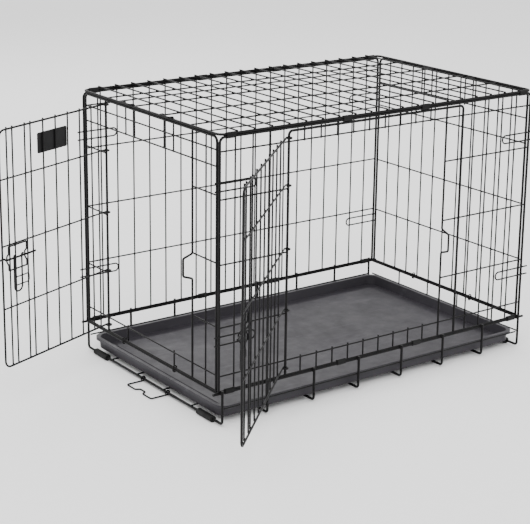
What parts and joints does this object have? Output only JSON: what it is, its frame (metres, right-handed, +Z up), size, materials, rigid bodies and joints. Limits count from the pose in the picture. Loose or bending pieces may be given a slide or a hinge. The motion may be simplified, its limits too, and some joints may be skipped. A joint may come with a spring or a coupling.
{
  "type": "wire dog crate",
  "caption": "Folding wire crate with a hinged front door, a hinged end door, sliding bolt latches and a slide-out tray.",
  "frame": {"origin": "centre of the crate's footprint, on the floor under its feet", "axes": "+X along the crate towards the plain end, +Y towards the back panel, +Z up; the front door is on the -Y side and the end door on the -X side"},
  "size_m": [1.0537, 0.7391, 0.552],
  "materials": {
    "black_wire": "satin black coat on steel wire",
    "clip_steel": "satin black coat on folded sheet steel",
    "pan_plastic": "fine-textured moulded plastic",
    "rubber": "matt",
    "plate_plastic": "smooth matt, plain"
  },
  "bodies": {
    "cage": {"back_corner_loops": "black_wire", "back_hinge_clips": "clip_steel", "back_panel_frame": "black_wire", "back_panel_mesh": "black_wire", "back_roof_clips": "clip_steel", "base_cross_wires": "black_wire", "base_hinge_rods": "black_wire", "base_left_hoop": "black_wire", "base_lip_wires": "black_wire", "base_long_wires": "black_wire", "base_right_hoop": "black_wire", "end_latch_post": "black_wire", "front_corner_loops": "black_wire", "front_door_surround": "black_wire", "front_hinge_clips": "clip_steel", "front_latch_post": "black_wire", "front_panel_frame": "black_wire", "front_panel_mesh": "black_wire", "front_roof_clips": "clip_steel", "left_end_frame": "black_wire", "left_end_hooks": "black_wire", "left_end_mesh": "black_wire", "left_end_rings": "black_wire", "roof_frame": "black_wire", "roof_mesh": "black_wire", "rubber_feet": "rubber"},
    "right_end": {"right_end_frame": "black_wire", "right_end_mesh": "black_wire", "right_end_hooks": "black_wire", "right_end_rings": "black_wire"},
    "front_door": {"front_door_frame": "black_wire", "front_door_mesh": "black_wire", "front_door_bolt_guide": "black_wire"},
    "front_bolt": {"front_door_bolt": "black_wire"},
    "front_handle": {"front_door_handle": "black_wire", "front_door_handle_tab": "black_wire"},
    "end_door": {"end_door_frame": "black_wire", "end_door_mesh": "black_wire", "end_door_bolt_guide": "black_wire", "name_plate": "plate_plastic"},
    "end_bolt": {"end_door_bolt": "black_wire"},
    "end_handle": {"end_door_handle": "black_wire", "end_door_handle_tab": "black_wire"},
    "pan": {"pan": "pan_plastic"},
    "pan_stop": {"pan_stop": "black_wire"}
  },
  "joints": [
    {"name": "front_door_swing", "type": "hinge", "parent": "cage", "child": "front_door", "pos_m": [-0.2286, -0.2391, 0.3], "axis": [0, 0, -1], "range_deg": [-137, 23]},
    {"name": "front_bolt_slide", "type": "slide", "parent": "front_door", "child": "front_bolt", "axis": [0.7314, 0.682, 0], "range_m": [-0.015, 0]},
    {"name": "front_handle_lift", "type": "hinge", "parent": "front_bolt", "child": "front_handle", "pos_m": [-0.47127, -0.4491, 0.268], "axis": [0.7314, 0.682, 0], "range_deg": [0, 90]},
    {"name": "end_door_swing", "type": "hinge", "parent": "cage", "child": "end_door", "pos_m": [-0.3786, 0.1524, 0.3], "axis": [0, 0, -1], "range_deg": [-69, 91]},
    {"name": "end_bolt_slide", "type": "slide", "parent": "end_door", "child": "end_bolt", "axis": [0.9336, 0.3584, 0], "range_m": [-0.015, 0]},
    {"name": "end_handle_lift", "type": "hinge", "parent": "end_bolt", "child": "end_handle", "pos_m": [-0.61113, 0.07591, 0.286], "axis": [0.9336, 0.3584, 0], "range_deg": [0, 90]},
    {"name": "pan_slide", "type": "slide", "parent": "cage", "child": "pan", "axis": [-1, 0, 0], "range_m": [0, 0.7]},
    {"name": "pan_stop_flip", "type": "hinge", "parent": "cage", "child": "pan_stop", "pos_m": [-0.37378, 0, 0.0062], "axis": [0, -1, 0], "range_deg": [-90, 0]},
    {"name": "right_end_fold", "type": "hinge", "parent": "cage", "child": "right_end", "pos_m": [0.3786, 0, 0.065], "axis": [0, -1, 0], "range_deg": [0, 90]}
  ]
}
